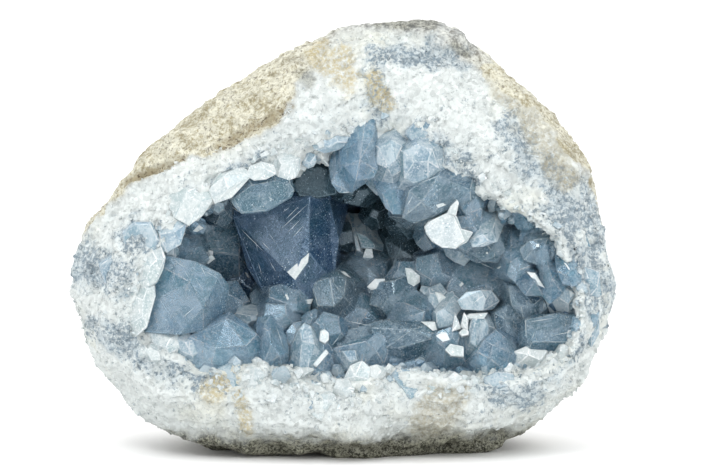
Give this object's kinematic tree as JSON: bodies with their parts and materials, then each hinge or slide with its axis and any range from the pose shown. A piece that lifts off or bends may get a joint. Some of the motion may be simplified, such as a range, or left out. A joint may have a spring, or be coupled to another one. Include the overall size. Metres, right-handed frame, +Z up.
{
  "type": "celestite geode",
  "caption": "Hollow nodule of pale rock broken open at the front, its hollow crusted with blunt translucent blue crystals; stands on a small flat spot.",
  "frame": {"origin": "on the floor, under the middle of the bounding box", "axes": "+X to the right seen from the open side, +Y back into the hollow and away from the viewer, +Z up"},
  "size_m": [0.2064, 0.1182, 0.1596],
  "materials": {
    "rock": "rough, granular",
    "crystal": "glossy crystal faces, translucent"
  },
  "bodies": {
    "root": {"rock_shell": "rock", "crystal_crust": "crystal"}
  },
  "joints": []
}
